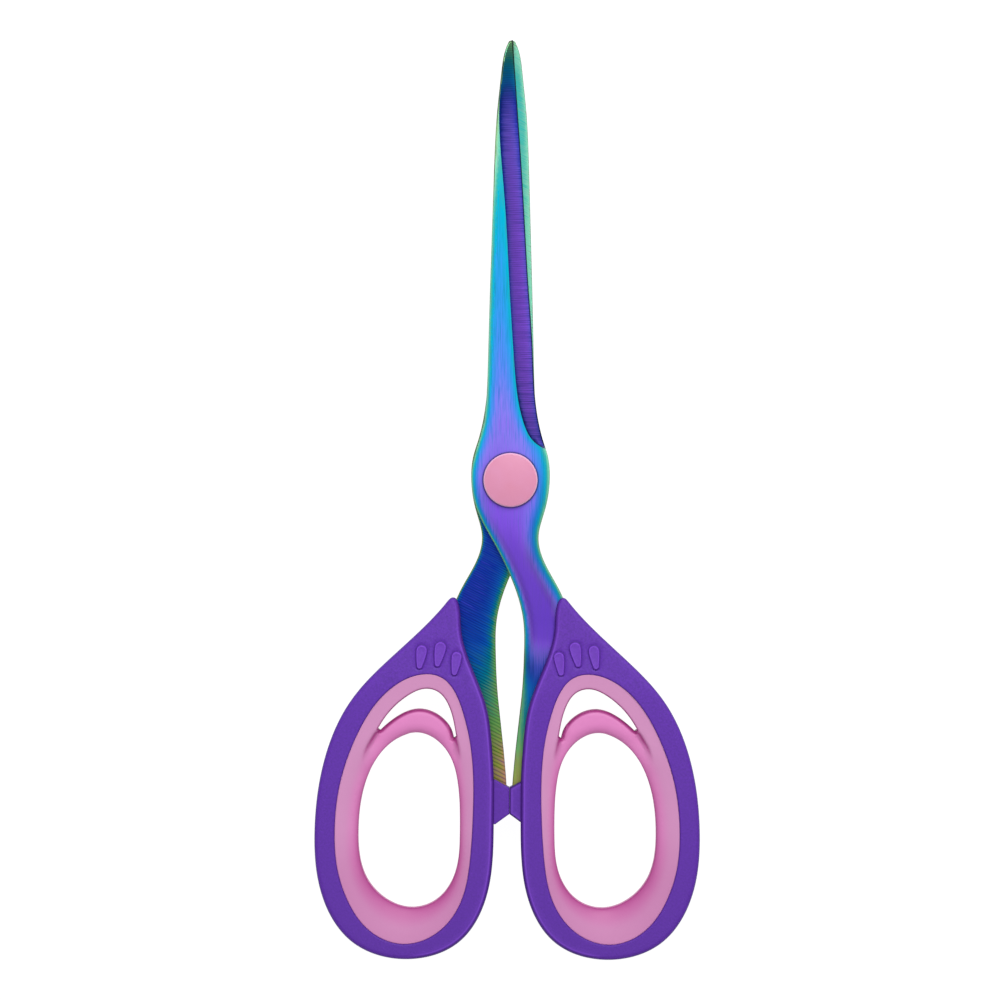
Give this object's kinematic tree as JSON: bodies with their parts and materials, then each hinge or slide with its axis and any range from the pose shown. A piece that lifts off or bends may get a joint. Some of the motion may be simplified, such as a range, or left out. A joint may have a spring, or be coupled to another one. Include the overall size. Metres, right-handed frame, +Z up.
{
  "type": "household scissors",
  "caption": "Straight-bladed household scissors with a capped rivet and hard oval handles lined with soft rubber that forms a springy arch.",
  "frame": {"origin": "on the table, under the middle of the closed scissors' whole length and width", "axes": "+Y towards the blade tips, +Z up from the table to the front face, +X towards the front half's handle"},
  "size_m": [0.0904, 0.216, 0.011],
  "materials": {
    "rainbow_steel": "brushed stainless steel with an interference coating that runs from violet to blue, teal and gold",
    "purple_plastic": "fine matte grain",
    "pink_rubber": "soft satin rubber",
    "pink_plastic": "satin",
    "rivet_steel": "plain turned steel"
  },
  "bodies": {
    "rear_half": {"rear_blade": "rainbow_steel", "rear_handle": "purple_plastic", "rear_lining": "pink_rubber", "pivot_rivet": "rivet_steel", "front_washer": "rivet_steel", "rear_washer": "rivet_steel", "front_cap": "pink_plastic", "rear_cap": "pink_plastic"},
    "front_half": {"front_blade": "rainbow_steel", "front_handle": "purple_plastic", "front_lining": "pink_rubber"}
  },
  "joints": [
    {"name": "pivot_hinge", "type": "hinge", "parent": "rear_half", "child": "front_half", "pos_m": [0.0005, 0.0045, 0.0055], "axis": [0, 0, 1], "range_deg": [0, 90]}
  ]
}
